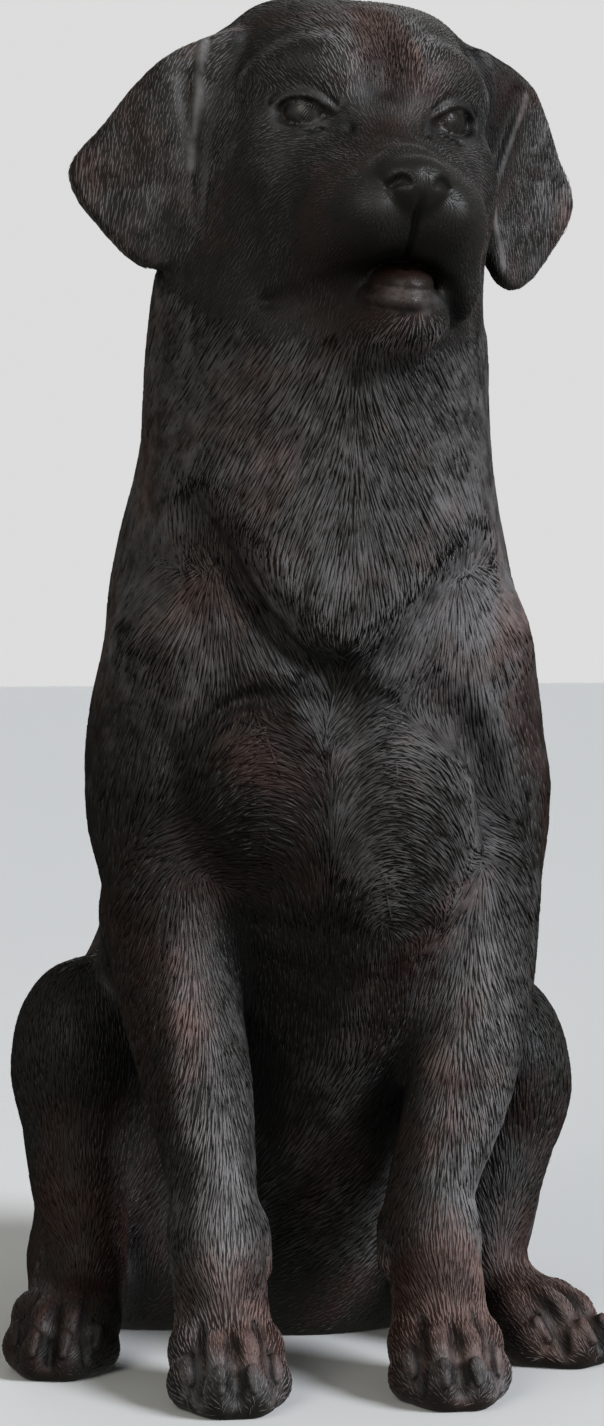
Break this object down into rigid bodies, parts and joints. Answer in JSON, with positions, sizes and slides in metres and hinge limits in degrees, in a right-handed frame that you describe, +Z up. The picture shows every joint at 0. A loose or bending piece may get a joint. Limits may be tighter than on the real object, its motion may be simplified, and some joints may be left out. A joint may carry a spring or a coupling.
{
  "type": "sitting dog statue",
  "caption": "Sitting Labrador garden figure, cast in one piece, head turned slightly to its left, mouth a little open.",
  "frame": {"origin": "on the ground plane, under the middle of the dog's seat", "axes": "+Z up; -Y the way the dog faces; +X towards the dog's own left"},
  "size_m": [0.2683, 0.3541, 0.6002],
  "materials": {
    "bronzed_resin": "very dark brown cast resin with a bronze patina: satin, rubbed lighter and greyer on the raised fur, red-brown in patches"
  },
  "bodies": {
    "root": {"dog_figure": "bronzed_resin"}
  },
  "joints": []
}
